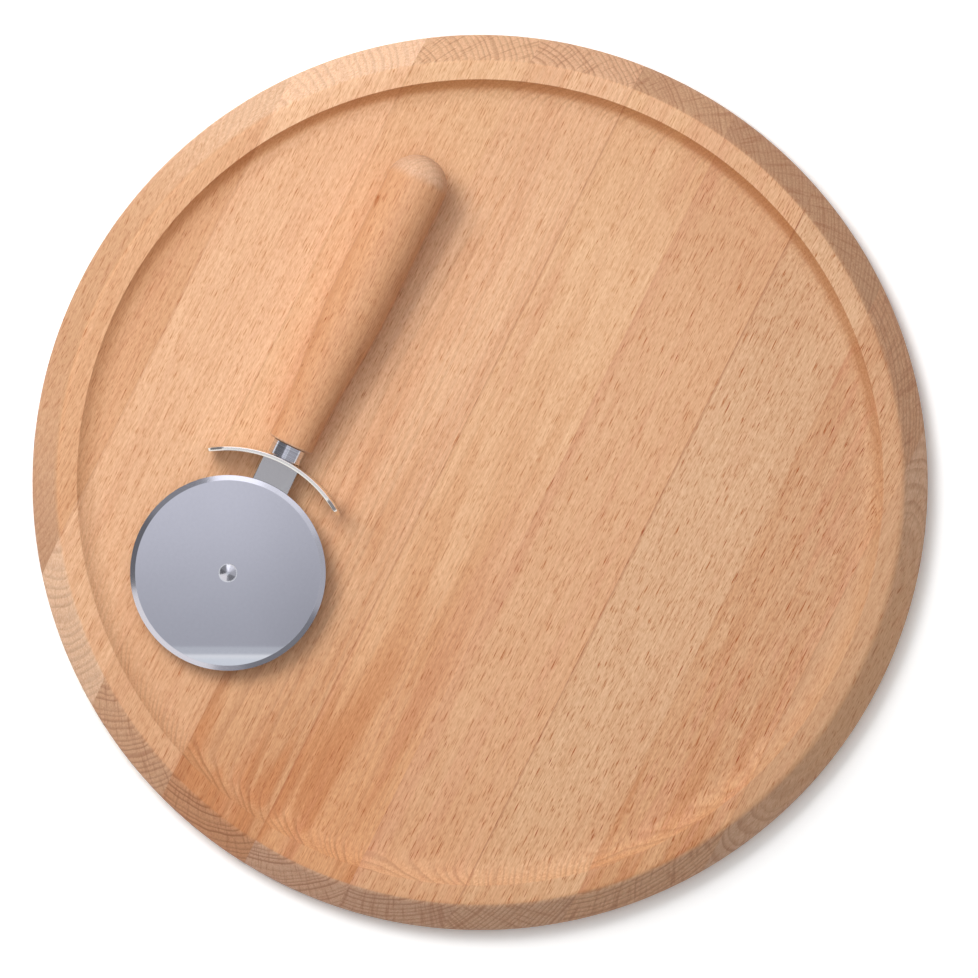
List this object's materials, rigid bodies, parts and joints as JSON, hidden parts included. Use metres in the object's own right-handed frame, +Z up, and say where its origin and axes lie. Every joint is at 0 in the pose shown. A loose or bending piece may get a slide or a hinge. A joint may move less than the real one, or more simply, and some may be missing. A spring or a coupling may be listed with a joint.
{
  "type": "pizza serving board with wheel cutter",
  "caption": "Round glued-beech serving board with a sloping outer edge and a shallow recess, and a wheel cutter with a turned beech handle and a curved guard lying in it.",
  "frame": {"origin": "centre of the board's flat underside", "axes": "+Z up out of the serving face; +X to the right and +Y to the top of the picture, which looks straight down"},
  "size_m": [0.32, 0.32, 0.0379],
  "materials": {
    "board_beech": "sanded and oiled",
    "handle_beech": "turned, sanded and oiled",
    "satin_steel": "satin",
    "polished_steel": "polished",
    "rivet_steel": "polished"
  },
  "bodies": {
    "board": {"stave_1": "board_beech", "stave_2": "board_beech", "stave_3": "board_beech", "stave_4": "board_beech", "stave_5": "board_beech", "stave_6": "board_beech", "stave_7": "board_beech", "stave_8": "board_beech", "stave_9": "board_beech"},
    "cutter": {"handle": "handle_beech", "collar": "satin_steel", "guard": "satin_steel", "arm": "satin_steel", "wheel_spacer": "rivet_steel", "rivet": "rivet_steel", "rear_washer": "rivet_steel"},
    "cutting_wheel": {"wheel": "polished_steel"}
  },
  "joints": [
    {"name": "cutter_lift", "type": "slide", "parent": "board", "child": "cutter", "axis": [0, 0, 1], "range_m": [0, 0.12]},
    {"name": "wheel_spin", "type": "hinge", "parent": "cutter", "child": "cutting_wheel", "pos_m": [-0.08935, -0.03207, 0.02308], "axis": [-0.0169, -0.0348, 0.9992], "continuous": true}
  ]
}
